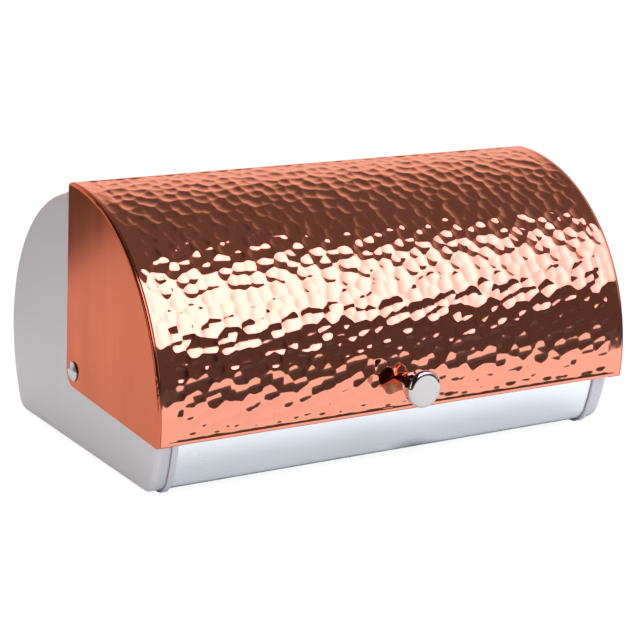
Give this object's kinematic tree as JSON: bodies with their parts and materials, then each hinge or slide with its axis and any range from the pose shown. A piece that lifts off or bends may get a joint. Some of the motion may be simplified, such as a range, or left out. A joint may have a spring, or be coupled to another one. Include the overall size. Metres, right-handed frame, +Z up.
{
  "type": "bread box",
  "caption": "Round-topped steel bread box whose hammered, copper-coloured lid rolls back over the body on two side pivots, with a chrome knob.",
  "frame": {"origin": "on the counter, under the middle of the whole box with its lid shut and its knob", "axes": "+X to the right along the box, +Y to the back, +Z up"},
  "size_m": [0.3916, 0.2834, 0.194],
  "materials": {
    "body_steel": "satin stainless steel",
    "lid_hammered": "polished copper-coloured metallic coating on hammered steel",
    "lid_satin": "satin copper-coloured metallic coating on smooth steel",
    "knob_chrome": "bright chrome plate",
    "pivot_chrome": "bright chrome plate",
    "hardware": "zinc-plated steel",
    "spacer_nylon": "natural white nylon"
  },
  "bodies": {
    "body": {"body_wrap": "body_steel", "end_cap_left": "body_steel", "end_cap_right": "body_steel", "pivot_screw_left": "pivot_chrome", "pivot_screw_right": "pivot_chrome", "pivot_spacer_left": "spacer_nylon", "pivot_spacer_right": "spacer_nylon", "pivot_washer_left": "hardware", "pivot_washer_right": "hardware", "pivot_nut_left": "hardware", "pivot_nut_right": "hardware"},
    "lid": {"lid_cover": "lid_hammered", "lid_side_left": "lid_satin", "lid_side_right": "lid_satin", "knob": "knob_chrome", "knob_washer": "hardware", "knob_screw": "hardware"}
  },
  "joints": [
    {"name": "lid_pivot", "type": "hinge", "parent": "body", "child": "lid", "pos_m": [0, 0.0149, 0.06], "axis": [-1, 0, 0], "range_deg": [0, 97]}
  ]
}
